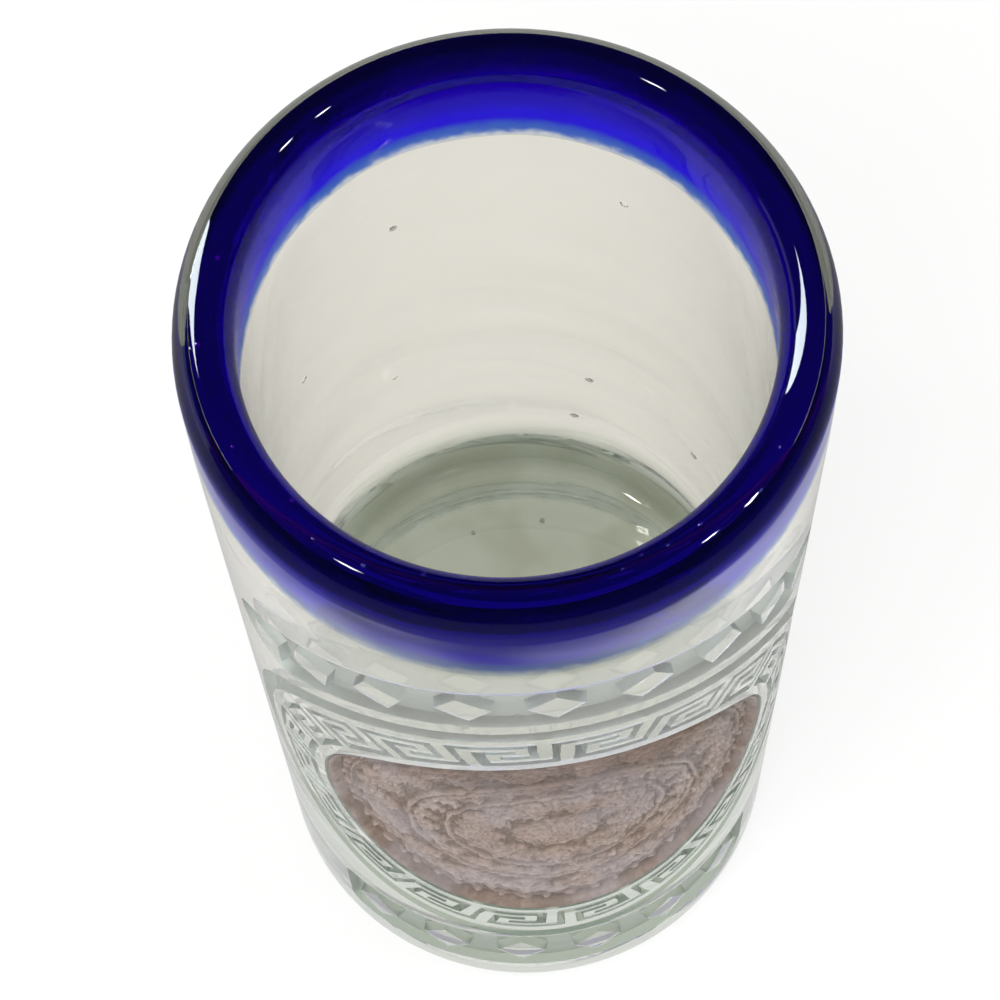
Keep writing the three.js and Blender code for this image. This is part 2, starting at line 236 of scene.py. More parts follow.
class ShotGlassFinish(bpy.types.PropertyGroup):
    clear: tint("Clear glass", "Tint of the wall", (0.97, 0.972, 0.955))
    heavy: tint("Heavy base", "Tint of the thick base", (0.55, 0.60, 0.54))
    # Painted shade: the floor under the drink is made darker and yellower
    bed: tint("Bed shade", "Further tint of the floor under the drink", (0.50, 0.50, 0.42))
    # Painted shade: the clear casing round the lip is darkened almost to black
    brim_shade: tint("Brim shade", "Grey of the clear casing round the lip", (0.07, 0.075, 0.072))
    cove_shade: tint("Cove shade", "Darker ring where the inner wall meets the floor", (0.42, 0.46, 0.41))
    haze: tint("Haze", "Grey of the soft ripples", (0.93, 0.935, 0.925))
    seed: tint("Seeds", "Grey of the small bubbles inside", (0.30, 0.31, 0.30))
    mirrored: tint("Mirrored glass", "How far clear glass is dimmed in reflections", (0.08, 0.08, 0.08))
    frost: tint("Frosted ground", "Tint of the carved ground", (0.82, 0.87, 0.86))
    crest: tint("Cobalt crest", "Blue at the thick lip", (0.0012, 0.0, 0.050))
    shoulder: tint("Cobalt shoulder", "Blue on the lip's inner turn", (0.011, 0.0, 0.46))
    body_blue: tint("Cobalt body", "Blue on the inner wall", (0.014, 0.0, 0.90))
    edge_blue: tint("Cobalt edge", "Blue close to the feather edge", (0.060, 0.16, 0.70))
    feather: tint("Cobalt feather", "Blue of the feather edge itself", (0.70, 0.77, 0.88))
    cobalt_seed: tint("Cobalt seeds", "Pale blue of the bubbles in the lip", (0.45, 0.50, 0.80))
    copper_high: tint("Copper high", "Worn copper on the relief", (0.50, 0.40, 0.36))
    copper_low: tint("Copper low", "Dark copper in the relief", (0.29, 0.23, 0.20))
    grime: tint("Grime", "Fine dark grain of the copper", (0.62, 0.58, 0.58))
    tarnish: tint("Tarnish", "Grey patches of the copper", (0.50, 0.46, 0.49))
    warmth: tint("Warmth", "Warmer patches of the copper", (0.96, 0.90, 0.80))
    # Painted shadow: colour that darkens the medallion under the upper edge of its seat
    seat_shadow: tint("Seat shadow", "Dirt under the upper edge of the seat", (0.60, 0.56, 0.54))
    adhesive: tint("Adhesive", "Cured bonding film", (0.60, 0.55, 0.48))


class ShotGlassStage(bpy.types.PropertyGroup):
    lens: bpy.props.FloatProperty(
        name="Lens", description="Focal length on a 36 mm sensor", default=120.59, min=1.0, unit="CAMERA")
    distance: length("Distance", "Camera to the point it looks at", 258.0)
    elevation: angle_size("Elevation", "Camera above the horizon", 1.17521)
    roll: angle_size("Roll", "Tilt of the picture", -0.05804)
    turn: angle_size("Turn", "Camera round the glass from its front", math.radians(-5.0))
    aim_height: length("Aim height", "Height of the point it looks at", 62.1)
    aim_side: length("Aim side", "Sideways place of that point", -1.152, least=-50.0)
    floor: tint("Floor", "Pale floor", (0.86, 0.86, 0.85))
    floor_through: tint("Floor through glass", "Tone of the floor through glass", (0.935, 0.90, 0.83))
    world: tint("World", "Light from all round", (0.55, 0.55, 0.55))
    world_seen: tint(
        "World seen", "Tone of the world in a straight look and through glass", (0.94, 0.93, 0.895))
    world_mirrored: tint("World mirrored", "Tone of the world in reflections", (0.02, 0.022, 0.025))


# Profile of the glass

def ease(t):
    """Smooth share of a way, from 0 to 1."""
    return t * t * (3 - 2 * t)


class Profile:
    """Sizes of the scene, and the radii and heights that the pieces share."""

    def __init__(self, scene):
        self.form, self.carving = scene.shot_glass_form, scene.shot_glass_carving
        form = self.form
        self.lip_centre_r = form.lip_radius - form.lip_thickness / 2
        self.lip_centre_z = form.height - form.lip_half_height
        self.neck_z = self.lip_centre_z - form.neck_drop
        self.cove_top = form.base_thickness + form.cove
        self.bore_top_r = form.lip_radius - form.wall_thickness
        self.bore_foot_r = self.bore_top_r - form.bore_inset
        self.foot_z = form.height - form.cobalt_depth
        self.badge_z = form.height * self.carving.level
        self.badge_r = self.wall(self.badge_z)

    def wall(self, z):
        return self.form.lip_radius - self.form.wall_inset * (1 - z / self.neck_z)

    def bore(self, z):
        if z > self.neck_z:
            inner = self.form.lip_radius - self.form.lip_thickness
            return self.bore_top_r + (inner - self.bore_top_r) * ease((z - self.neck_z) / self.form.neck_drop)
        t = (z - self.cove_top) / (self.neck_z - self.cove_top)
        return self.bore_foot_r + (self.bore_top_r - self.bore_foot_r) * t

    def lip(self, start, end, steps):
        angles = np.linspace(start, end, steps + 1)
        return [(self.lip_centre_r + self.form.lip_thickness / 2 * math.cos(a),
                 self.lip_centre_z + self.form.lip_half_height * math.sin(a)) for a in angles]

    def seam(self, inset, steps):
        """Line where casing and cobalt meet, from the lip's centre height down to the feather edge."""
        top = self.form.lip_radius - self.form.casing
        foot = self.bore(self.foot_z) + self.form.cobalt_foot
        fall = self.foot_z - self.lip_centre_z
        return [(top + (foot - top) * ease(t) - inset, self.lip_centre_z + fall * t)
                for t in np.linspace(0, 1, steps + 1)]

    def wander(self, angle, z):
        """Rise of the feather edge at an angle round the glass, fading out towards the lip."""
        share = np.clip((self.lip_centre_z - z) / (self.lip_centre_z - self.foot_z), 0, 1)
        below = np.clip(1 - (self.foot_z - z) / FADE, 0, 1)
        wave = np.sin(2 * angle + 0.6) + 0.6 * np.sin(5 * angle + 2.0) + 0.35 * np.sin(11 * angle + 1.0)
        dip = np.cos(angle) - SIDE_RISE * np.sin(angle) ** 2
        rise = self.form.cobalt_wave * wave - self.form.cobalt_tilt * dip
        return rise * np.where(z >= self.foot_z, share, below)

    def follow_edge(self, vertices, which):
        """Moves the marked points up and down with the feather edge."""
        around = np.arctan2(vertices[which, 0], -vertices[which, 1])
        vertices[which, 2] += self.wander(around, vertices[which, 2])


def arc(centre_r, centre_z, radius, start, end, steps):
    """Points of a circle in the profile, angles in degrees."""
    return [(centre_r + radius * math.cos(math.radians(a)), centre_z + radius * math.sin(math.radians(a)))
            for a in np.linspace(start, end, steps + 1)]


def body_rows(p):
    """Profile of the clear body from under its base to its floor, and where each stretch starts."""
    form, start = p.form, {}
    dome = (form.pontil_radius ** 2 + form.pontil_depth ** 2) / (2 * form.pontil_depth)
    spread = math.degrees(math.asin(form.pontil_radius / dome))
    rows = arc(0.0, form.pontil_depth - dome, dome, 90, 90 - spread, steps=8)
    rows += [(r, 0.0) for r in BASE_RINGS]
    start["corner"] = len(rows)
    corner_r = p.wall(form.base_corner) - form.base_corner
    rows += arc(corner_r, form.base_corner, form.base_corner, -90, 0, steps=10)
    start["wall"] = len(rows)
    rows += [(p.wall(z), z) for z in WALL_ROWS]
    start["neck"] = len(rows)
    rows += [(form.lip_radius, z) for z in np.linspace(p.neck_z, p.lip_centre_z, 9)[:-1]]
    rows += p.lip(0.0, form.casing_angle, steps=10)
    start["seam"] = len(rows) - 1
    rows += p.seam(0.0, SEAM_STEPS)
    start["bore"] = len(rows)
    rows += [(p.bore(z), z) for z in np.linspace(p.foot_z, p.cove_top, 19)]
    floor_r = p.bore_foot_r - form.cove
    rows += arc(floor_r, p.cove_top, form.cove, 0, -90, steps=12)[1:]
    rows += [(r * floor_r, form.base_thickness) for r in (0.8, 0.6, 0.4, 0.2, 0.0)]
    return rows, start


# Meshes

def new_piece(name, vertices, faces, materials=(), face_slots=None):
    """Object at the origin from a vertex and face list, faces out, with its materials."""
    mesh = bpy.data.meshes.new(name)
    mesh.from_pydata([tuple(v) for v in vertices], [], faces)
    for material in materials:
        mesh.materials.append(material)
    if face_slots is not None:
        mesh.polygons.foreach_set("material_index", np.asarray(face_slots, dtype=np.int32))
    mesh.validate()
    mesh.shade_smooth()
    mesh.set_sharp_from_angle(angle=SMOOTH_ANGLE)
    piece = bpy.data.objects.new(name, mesh)
    bpy.context.scene.collection.objects.link(piece)
    return piece


def turned(rows, columns, closed=False):
    """Vertices and quads of a profile turned about Z; a row on the axis becomes one point."""
    angles = np.linspace(-math.pi, math.pi, columns, endpoint=False)
    vertices, index = [], []
    for r, z in rows:
        if r < 1e-7:
            index.append([len(vertices)] * columns)
            vertices.append((0.0, 0.0, z))
            continue
        index.append(list(range(len(vertices), len(vertices) + columns)))
        vertices += [(r * math.sin(a), -r * math.cos(a), z) for a in angles]
    faces, row_of, column_of = [], [], []
    count = len(rows) if closed else len(rows) - 1
    for i in range(count):
        low, high = index[i], index[(i + 1) % len(rows)]
        for k in range(columns):
            j = (k + 1) % columns
            face = tuple(dict.fromkeys((low[k], low[j], high[j], high[k])))
            if len(face) > 2:
                faces.append(face)
                row_of.append(i)
                column_of.append(k)
    return np.array(vertices), faces, np.array(row_of), np.array(column_of), angles


def weld(mesh, turn_out=False):
    """Merges doubled points and drops loose ones, and stops if the mesh isn't closed."""
    work = bmesh.new()
    work.from_mesh(mesh)
    bmesh.ops.remove_doubles(work, verts=work.verts[:], dist=MERGE)
    bmesh.ops.delete(work, geom=[v for v in work.verts if not v.link_faces], context="VERTS")
    if turn_out:
        bmesh.ops.recalc_face_normals(work, faces=work.faces[:])
        if work.calc_volume(signed=True) < 0:
            bmesh.ops.reverse_faces(work, faces=work.faces[:])
    open_edges = sum(len(edge.link_faces) != 2 for edge in work.edges)
    work.to_mesh(mesh)
    work.free()
    if open_edges:
        raise RuntimeError(f"{mesh.name} has {open_edges} open edges")


# Carved front, laid out flat as arc length and height

class Layout:
    """Outlines of the carving on the unrolled wall, each with its height above the wall's face."""

    def __init__(self, profile):
        c = profile.carving
        self.c = c
        self.centre = np.array([0.0, profile.badge_z])
        self.seat = c.medallion_radius + c.seat_clearance
        self.key_in = self.seat + c.inner_border
        self.key_out = self.key_in + c.key_width
        self.groove_in = self.key_out + c.outer_border
        self.groove_out = self.groove_in + c.groove_width
        self.banner_r = self.groove_out + c.banner_gap + c.banner_width / 2
        self.panel_z = profile.badge_z - self.groove_out - c.panel_gap - c.panel_width / 2
        self.points, self.heights, self.edges, self.frosts = [], [], [], []

    def polar(self, radius, angle):
        return self.centre + radius * np.array([math.sin(angle), math.cos(angle)])

    def loop(self, outline, height, frost):
        """Adds a closed outline at one height."""
        first = len(self.points)
        for i, point in enumerate(outline):
            self.points.append(tuple(point))
            self.heights.append(height)
            self.frosts.append(frost)
            self.edges.append((first + i, first + (i + 1) % len(outline)))

    def circle(self, radius, height, frost, steps):
        self.loop([self.polar(radius, 2 * math.pi * i / steps) for i in range(steps)], height, frost)

    def groove(self, t):
        """Height and frost of the round-bottomed groove, with t from 0 to 1 across it."""
        deep = np.sin(math.pi * t)
        return -self.c.depth * deep ** 0.8, deep

    def key_ground(self, key, inset):
        """Outline of the carved ground between one key and the next, drawn in by inset."""
        c = self.c
        pitch = 2 * math.pi / c.key_count
        mid = (self.key_in + self.key_out) / 2
        along, across = inset / (pitch * mid), inset / c.key_width

        def edge(k, side):
            corners = []
            for i, (a, b) in enumerate(KEY_PATH):
                a0, b0 = KEY_PATH[max(i - 1, 0)]
                a1, b1 = KEY_PATH[min(i + 1, len(KEY_PATH) - 1)]
                a += side * (c.key_line / 2 + along) * np.sign(b1 - b0)
                b -= side * (c.key_line / 2 + across) * np.sign(a1 - a0)
                corners.append((k + a, min(max(b, across), 1 - across)))
            return corners

        corners = edge(key, 1) + edge(key + 1, -1)[::-1]
        outline = []
        for (a, b), (a1, b1) in zip(corners, corners[1:] + corners[:1]):
            steps = max(1, math.ceil(abs(a1 - a) * pitch * mid / KEY_STEP))
            for t in (j / steps for j in range(steps)):
                radius = self.key_in + c.key_width * (b + (b1 - b) * t)
                outline.append(self.polar(radius, pitch * (a + (a1 - a) * t)))
        return outline

    def banner(self, inset):
        """Outline of the arched banner with its round ends, drawn in by inset."""
        reach, half = self.c.banner_half_angle, self.c.banner_width / 2 - inset
        outline = [self.polar(self.banner_r + half, a) for a in np.linspace(-reach, reach, 49)]
        for side in (1, -1):
            end = self.polar(self.banner_r, side * reach)
            radial = np.array([side * math.sin(reach), math.cos(reach)])
            tangent = np.array([side * math.cos(reach), -math.sin(reach)])
            for t in np.linspace(0, math.pi, 17)[1:-1]:
                outline.append(end + half * (side * math.cos(t) * radial + math.sin(t) * tangent))
            if side == 1:
                outline += [self.polar(self.banner_r - half, a) for a in np.linspace(reach, -reach, 41)]
        return outline

    def panel(self, inset):
        """Outline of the straight panel with its round corners, drawn in by inset."""
        c = self.c
        x, z, r = c.panel_length / 2 - inset, c.panel_width / 2 - inset, PANEL_CORNER - inset
        corners = []
        for sx, sz, start in ((1, 1, 90), (1, -1, 0), (-1, -1, -90), (-1, 1, 180)):
            for a in np.radians(np.linspace(start, start - 90, 7)):
                corners.append(np.array([sx * (x - r) + r * math.cos(a),
                                         self.panel_z + sz * (z - r) + r * math.sin(a)]))
        outline = []
        for p, q in zip(corners, corners[1:] + corners[:1]):
            steps = max(1, int(np.linalg.norm(q - p) / PANEL_STEP))
            outline += [p + (q - p) * j / steps for j in range(steps)]
        return outline

    def lozenges(self, grow):
        """Outlines of the raised lozenges of banner and panel, made larger by grow."""
        c = self.c
        places = []
        pitch = 2 * c.banner_half_angle * self.banner_r / (c.banner_studs - 1)
        for i in range(c.banner_studs):
            a = c.banner_half_angle * (2 * i / (c.banner_studs - 1) - 1)
            places.append((self.polar(self.banner_r, a), a, pitch, c.banner_width))
        pitch = c.panel_length / c.panel_studs
        for i in range(c.panel_studs):
            centre = np.array([pitch * (i + 0.5 - c.panel_studs / 2), self.panel_z])
            places.append((centre, 0.0, pitch, c.panel_width))
        outlines = []
        for centre, a, space, width in places:
            along = np.array([math.cos(a), -math.sin(a)]) * (space * c.stud_fill / 2 + grow)
            across = np.array([math.sin(a), math.cos(a)]) * (width * c.stud_fill / 2 + grow)
            corners = [centre + across, centre + along, centre - across, centre - along]
            outlines.append([p + (q - p) * j / 4 for p, q in zip(corners, corners[1:] + corners[:1])
                             for j in range(4)])
        return outlines


def inside(points, outline):
    """Which points lie inside a closed outline."""
    x, y = points[:, 0], points[:, 1]
    result = np.zeros(len(points), bool)
    q = np.asarray(outline)
    for (x0, y0), (x1, y1) in zip(q, np.roll(q, -1, axis=0)):
        if y0 == y1:
            continue
        crosses = (y0 > y) != (y1 > y)
        result ^= crosses & (x < (x1 - x0) * (y - y0) / (y1 - y0) + x0)
    return result


def free_grid(fixed, left, right, low, high):
    """Staggered grid of points inside a border, clear of the fixed points."""
    xs = np.arange(left + GRID_STEP, right - GRID_STEP / 2, GRID_STEP)
    zs = np.arange(low + GRID_STEP, high - GRID_STEP / 2, GRID_STEP)
    grid = np.array([(x + (GRID_STEP / 2 if j % 2 else 0.0), z) for j, z in enumerate(zs) for x in xs])
    gaps = np.array([np.min(np.sum((fixed - point) ** 2, axis=1)) for point in grid])
    return grid[gaps > GRID_GAP ** 2]


def carved_front(profile, columns):
    """Mesh of the carved front over the given columns of the wall, and the frost of each point."""
    lay = Layout(profile)
    c, rows_z = profile.carving, WALL_ROWS
    left, right = columns[0] * profile.badge_r, columns[-1] * profile.badge_r
    border = [(a * profile.badge_r, rows_z[0]) for a in columns]
    border += [(right, z) for z in rows_z[1:]]
    border += [(a * profile.badge_r, rows_z[-1]) for a in columns[::-1][1:]]
    border += [(left, z) for z in rows_z[::-1][1:-1]]
    lay.loop(border, 0.0, 0.0)
    lay.circle(lay.seat, 0.0, 0.0, SEAT_POINTS)
    lay.circle(lay.seat - c.bevel, -c.seat_depth, 1.0, SEAT_POINTS)
    grounds = [lay.key_ground(key, c.bevel) for key in range(c.key_count)]
    for key, ground in enumerate(grounds):
        lay.loop(lay.key_ground(key, 0.0), 0.0, 0.0)
        lay.loop(ground, -c.depth, 1.0)
    for t in np.linspace(0, 1, GROOVE_RINGS):
        lay.circle(lay.groove_in + c.groove_width * t, *lay.groove(t), GROOVE_POINTS)
    for field in (lay.banner, lay.panel):
        grounds.append(field(c.bevel))
        lay.loop(field(0.0), 0.0, 0.0)
        lay.loop(grounds[-1], -c.depth, 1.0)
    studs = lay.lozenges(c.bevel)
    for foot, top in zip(studs, lay.lozenges(0.0)):
        lay.loop(foot, -c.depth, 1.0)
        lay.loop(top, 0.0, 0.0)

    grid = free_grid(np.array(lay.points), left, right, rows_z[0], rows_z[-1])
    height, frost = np.zeros(len(grid)), np.zeros(len(grid))
    for ground in grounds:
        hit = inside(grid, ground)
        height[hit], frost[hit] = -c.depth, 1.0
    for stud in studs:
        hit = inside(grid, stud)
        height[hit], frost[hit] = 0.0, 0.0
    rho = np.hypot(*(grid - lay.centre).T)
    t = (rho - lay.groove_in) / c.groove_width
    hit = (t > 0) & (t < 1)
    height[hit], frost[hit] = lay.groove(t[hit])
    hit = rho < lay.seat
    height[hit], frost[hit] = -c.seat_depth, 1.0

    heights, frosts = lay.heights + list(height), lay.frosts + list(frost)
    scale = 1 / MM
    points = [Vector((x * scale, z * scale)) for x, z in (*lay.points, *grid)]
    out, _, faces, origin, _, _ = delaunay_2d_cdt(points, lay.edges, [], 0, 1e-4)
    vertices, marks = [], []
    for point, source in zip(out, origin):
        if not source:
            raise RuntimeError("carved outlines cross each other")
        z = point.y / scale
        r = profile.wall(z) + heights[source[0]]
        a = point.x / scale / profile.badge_r
        vertices.append((r * math.sin(a), -r * math.cos(a), z))
        marks.append(frosts[source[0]])
    return vertices, faces, marks


# Rules written as sums of node values

class Value:
    """A socket of a node tree that is added, multiplied and shaped like a number."""

    def __init__(self, tree, socket):
        self.tree, self.socket = tree, socket

    def node(self, kind, settings, *sources):
        node = add_node(self.tree, kind, settings)
        for socket, source in zip(node.inputs, (self, *sources)):
            plug(self.tree, socket, source)
        return Value(self.tree, node.outputs[0])

    def math(self, operation, *others):
        return self.node("ShaderNodeMath", {"operation": operation}, *others)

    def step(self, low, high, bottom=0.0, top=1.0):
        """Smooth change from bottom to top between low and high."""
        return self.node("ShaderNodeMapRange", {"interpolation_type": "SMOOTHSTEP"}, low, high, bottom, top)

    def __rsub__(self, other):
        return (-self).math("ADD", other)

    __add__ = __radd__ = partialmethod(math, "ADD")
    __sub__ = partialmethod(math, "SUBTRACT")
    __mul__ = __rmul__ = partialmethod(math, "MULTIPLY")
    __truediv__ = partialmethod(math, "DIVIDE")
    __neg__ = partialmethod(math, "MULTIPLY", -1.0)
    power = partialmethod(math, "POWER")
    sin = partialmethod(math, "SINE")
    cos = partialmethod(math, "COSINE")
    abs = partialmethod(math, "ABSOLUTE")
    frac = partialmethod(math, "FRACT")
    top = partialmethod(math, "MAXIMUM")
    least = partialmethod(math, "MINIMUM")


def plug(tree, socket, source):
    """Feeds a socket from a value, a socket or a plain number."""
    if isinstance(source, Value):
        tree.links.new(source.socket, socket)
    elif isinstance(source, bpy.types.NodeSocket):
        tree.links.new(source, socket)
    else:
        socket.default_value = source


def feed(tree, node, **sockets):
    """Feeds a node's inputs by name, with _ for a space."""
    for name, source in sockets.items():
        plug(tree, node.inputs[name.replace("_", " ")], source)
    return node


def add_node(tree, kind, settings=None, **sockets):
    """A node with its settings and inputs."""
    node = tree.nodes.new(kind)
    for name, value in (settings or {}).items():
        setattr(node, name, value)
    return feed(tree, node, **sockets)


def add_group(tree, group):
    """A node group placed in a tree."""
    return add_node(tree, "ShaderNodeGroup", {"node_tree": group})


def new_tree(name, kind, inputs, outputs):
    """Node tree with its end nodes; inputs are (name, socket kind, default), outputs (name, socket kind)."""
    tree = bpy.data.node_groups.new(name, kind)
    for label, socket_kind, default in inputs:
        tree.interface.new_socket(label, in_out="INPUT", socket_type=socket_kind).default_value = default
    for label, socket_kind in outputs:
        tree.interface.new_socket(label, in_out="OUTPUT", socket_type=socket_kind)
    return tree, tree.nodes.new("NodeGroupInput"), tree.nodes.new("NodeGroupOutput")


def object_place(tree):
    """Place of a point on its own object."""
    return tree.nodes.new("ShaderNodeTexCoord").outputs["Object"]


def xyz(tree, vector):
    """The three parts of a vector."""
    return [Value(tree, socket) for socket in add_node(tree, "ShaderNodeSeparateXYZ", Vector=vector).outputs]


def noise(tree, vector, scale, detail, **more):
    """Smooth noise from 0 to 1 at a place."""
    node = add_node(tree, "ShaderNodeTexNoise", Vector=vector, Scale=scale, Detail=detail, **more)
    return Value(tree, node.outputs[0])


def attribute(tree, name):
    """A number that the mesh holds at each vertex."""
    return Value(tree, add_node(tree, "ShaderNodeAttribute", {"attribute_name": name}).outputs["Fac"])


def ray_kinds(tree):
    """Whether a look is straight, in a reflection, or through glass."""
    path = tree.nodes.new("ShaderNodeLightPath")
    straight, glossy, through = (Value(tree, path.outputs[name]) for name in (
        "Is Camera Ray", "Is Glossy Ray", "Is Transmission Ray"))
    return straight, glossy * (1.0 - through), through


def mixed(tree, factor, first, second, blend="MIX"):
    """Colour mix of two colours or sockets."""
    node = add_node(tree, "ShaderNodeMix", {"data_type": "RGBA", "blend_type": blend})
    plug(tree, node.inputs[0], factor)
    for socket, source in ((node.inputs[6], first), (node.inputs[7], second)):
        plug(tree, socket, source if isinstance(source, bpy.types.NodeSocket) else (*source, 1.0))
    return node.outputs[2]


# Materials

def glass_flow_group():
    """Slow waves and soft level ripples of hand-worked glass: a height for bump, a haze mask and seeds."""
    group = bpy.data.node_groups.get("glass_flow")
    if group:
        return group
    sizes = {"Wave scale": 70.0, "Ripple scale": 150.0, "Ripple stretch": 0.22, "Seed scale": 140.0,
             "Seed size": 0.060}
    group, inputs, outputs = new_tree(
        "glass_flow", "ShaderNodeTree", [(name, "NodeSocketFloat", size) for name, size in sizes.items()],
        [(name, "NodeSocketFloat") for name in ("Height", "Haze", "Seeds")])
    size = {name: Value(group, inputs.outputs[name]) for name in sizes}
    place = object_place(group)
    x, y, z = xyz(group, place)
    stretch = size["Ripple stretch"]
    level = add_node(group, "ShaderNodeCombineXYZ", X=x * stretch, Y=y * stretch, Z=z + 0.22 * x)
    wave = noise(group, place, size["Wave scale"], 1.0)
    ripple = noise(group, level.outputs[0], size["Ripple scale"], 1.0, Distortion=0.4)
    fade = z.step(0.030, 0.075, 2.0, 0.25)
    seed = size["Seed size"]
    cells = add_node(group, "ShaderNodeTexVoronoi", Vector=place, Scale=size["Seed scale"])
    seeds = Value(group, cells.outputs["Distance"]).step(0.5 * seed, seed, 1.0, 0.0)
    feed(group, outputs, Height=0.6 * wave + 0.55 * ripple * fade + 0.5 * seeds,
         Haze=ripple.step(0.45, 0.75) * fade, Seeds=seeds)
    return group


def cobalt_run_group():
    """Blue from the thick crest to the feather edge, by the piece's own run attribute."""
    group = bpy.data.node_groups.get("cobalt_run")
    if group:
        return group
    finish = bpy.context.scene.shot_glass_finish
    # Each blue takes over from the one before it between two values of the run
    blues = (("Feather", finish.feather, 0.0, 0.0), ("Edge", finish.edge_blue, 0.0, 0.13),
             ("Body", finish.body_blue, 0.12, 0.44), ("Shoulder", finish.shoulder, 0.60, 1.10),
             ("Crest", finish.crest, 1.26, 1.50))
    colours = [(name, "NodeSocketColor", (*blue, 1.0)) for name, blue, _, _ in blues]
    group, inputs, outputs = new_tree(
        "cobalt_run", "ShaderNodeTree", colours, [("Colour", "NodeSocketColor")])
    place = object_place(group)
    run = attribute(group, "run") + 0.06 * (noise(group, place, 260.0, 3.0) - 0.5)
    run = run + 0.16 * (noise(group, place, 900.0, 3.0) - 0.5)
    colour = inputs.outputs["Feather"]
    for name, _, low, high in blues[1:]:
        colour = mixed(group, run.step(low, high), colour, inputs.outputs[name])
    feed(group, outputs, Colour=colour)
    return group


def new_material(name, **constants):
    """Node material, its tree, and its Principled shader with constant inputs."""
    material = bpy.data.materials.new(name)
    material.use_nodes = True
    tree = material.node_tree
    return material, tree, feed(tree, tree.nodes["Principled BSDF"], **constants)


def bump(tree, strength, distance, height):
    """Normal of a surface that has small heights."""
    return add_node(tree, "ShaderNodeBump", Strength=strength, Distance=distance, Height=height).outputs[0]


def clear_glass(name, clearness, carved=False):
    """Clear hand-worked glass, greener in the heavy base; the carved ground is blasted and milky."""
    finish, form = bpy.context.scene.shot_glass_finish, bpy.context.scene.shot_glass_form
    material, tree, shader = new_material(
        name, Transmission_Weight=clearness, IOR=GLASS_IOR, Roughness=GLASS_ROUGHNESS)
    place = object_place(tree)
    x, y, z = xyz(tree, place)
    flow = add_group(tree, glass_flow_group())
    height, haze, seeds = (Value(tree, flow.outputs[key]) for key in ("Height", "Haze", "Seeds"))
    bore_r = form.lip_radius - form.wall_thickness
    above_floor = z - form.base_thickness

    inner = (x * x + y * y).power(0.5).step(bore_r + 0.15 * MM, bore_r + 0.95 * MM, 1.0, 0.0)
    low = above_floor.step(0.1 * MM, 4.5 * MM, 1.0, 0.0)
    # Painted shade on the floor under the drink, broken by lighter blotches
    blotch = noise(tree, place, 130.0, 2.0).step(0.38, 0.62, 1.0, 0.65)
    bed = inner * low * above_floor.step(-5.0 * MM, -1.0 * MM) * blotch
    cove = inner * above_floor.step(-0.2 * MM, 0.6 * MM) * above_floor.step(1.0 * MM, 4.0 * MM, 1.0, 0.0)
    # Painted shade on the clear casing round the lip, at the top of the glass
    brim_shade = z.step(form.height - 3.6 * MM, form.height - 1.6 * MM)
    # Clear glass is dimmed where another surface reflects it
    _, shine, _ = ray_kinds(tree)
    back = Value(tree, tree.nodes.new("ShaderNodeNewGeometry").outputs["Backfacing"])
    layers = [(bed, finish.bed), (cove, finish.cove_shade), (brim_shade, finish.brim_shade), (0.5 * haze, finish.haze)]
    if carved:
        layers.append((1.0, finish.frost))
    layers += [(inner * seeds, finish.seed), (shine * (1.0 - back), finish.mirrored)]
    colour = mixed(tree, low, finish.clear, finish.heavy)
    for factor, layer in layers:
        colour = mixed(tree, factor, colour, layer, "MULTIPLY")
    if carved:
        grain = noise(tree, place, 2600.0, 2.0)
        feed(tree, shader, Roughness=0.40 + 0.2 * grain)
        height = height + 0.10 * grain
    feed(tree, shader, Base_Color=colour, Normal=bump(tree, 0.5, FLOW_DEPTH, height))
    return material


def cobalt_glass():
    """Cobalt glass of the lip, almost black where it is thick."""
    finish = bpy.context.scene.shot_glass_finish
    material, tree, shader = new_material(
        "cobalt_glass", Transmission_Weight=1.0, IOR=GLASS_IOR, Roughness=GLASS_ROUGHNESS)
    flow = add_group(tree, glass_flow_group())
    feed(tree, flow, Seed_scale=520.0, Seed_size=0.10)
    blue = add_group(tree, cobalt_run_group()).outputs["Colour"]
    seeds = Value(tree, flow.outputs["Seeds"])
    feed(tree, shader, Base_Color=mixed(tree, 0.6 * seeds, blue, finish.cobalt_seed),
         Normal=bump(tree, 0.2, FLOW_DEPTH, flow.outputs["Height"]))
    return material


def fused_seam(name, colour_group=None):
    """Inside face where two glasses are melted together: it bends no light."""
    material, tree, shader = new_material(
        name, Transmission_Weight=1.0, IOR=1.0, Roughness=0.0, Base_Color=(1.0, 1.0, 1.0, 1.0))
    if colour_group:
        feed(tree, shader, Base_Color=add_group(tree, colour_group).outputs["Colour"])
    return material


def aged_copper():
    """Dull copper, dark in the hollows of the relief and rubbed on its heights."""
    finish = bpy.context.scene.shot_glass_finish
    material, tree, shader = new_material("aged_copper", Metallic=0.35)
    place = object_place(tree)
    patch = noise(tree, place, 420.0, 4.0)
    fine = noise(tree, place, 2400.0, 3.0)
    cloud = noise(tree, place, 130.0, 2.0)
    worn = (attribute(tree, "rise") + 0.7 * (patch - 0.5)).step(0.05, 0.80)
    colour = mixed(tree, worn, finish.copper_low, finish.copper_high)
    colour = mixed(tree, 0.35 * fine.step(0.45, 0.7), colour, finish.grime, "MULTIPLY")
    colour = mixed(tree, 0.4 * cloud.step(0.46, 0.64), colour, finish.tarnish)
    colour = mixed(tree, cloud.step(0.36, 0.48, 0.6, 0.0), colour, finish.warmth, "MULTIPLY")
    _, _, z = xyz(tree, place)
    # Painted shadow: the medallion darkens towards the upper edge of its seat
    colour = mixed(tree, z.step(*SEAT_SHADOW_HEIGHTS, 0.0, 0.65), colour, finish.seat_shadow, "MULTIPLY")
    feed(tree, shader, Base_Color=colour, Roughness=0.40 + 0.25 * fine - 0.08 * worn,
         Normal=bump(tree, 0.6, 0.2 * MM, fine + 0.6 * patch))
    return material


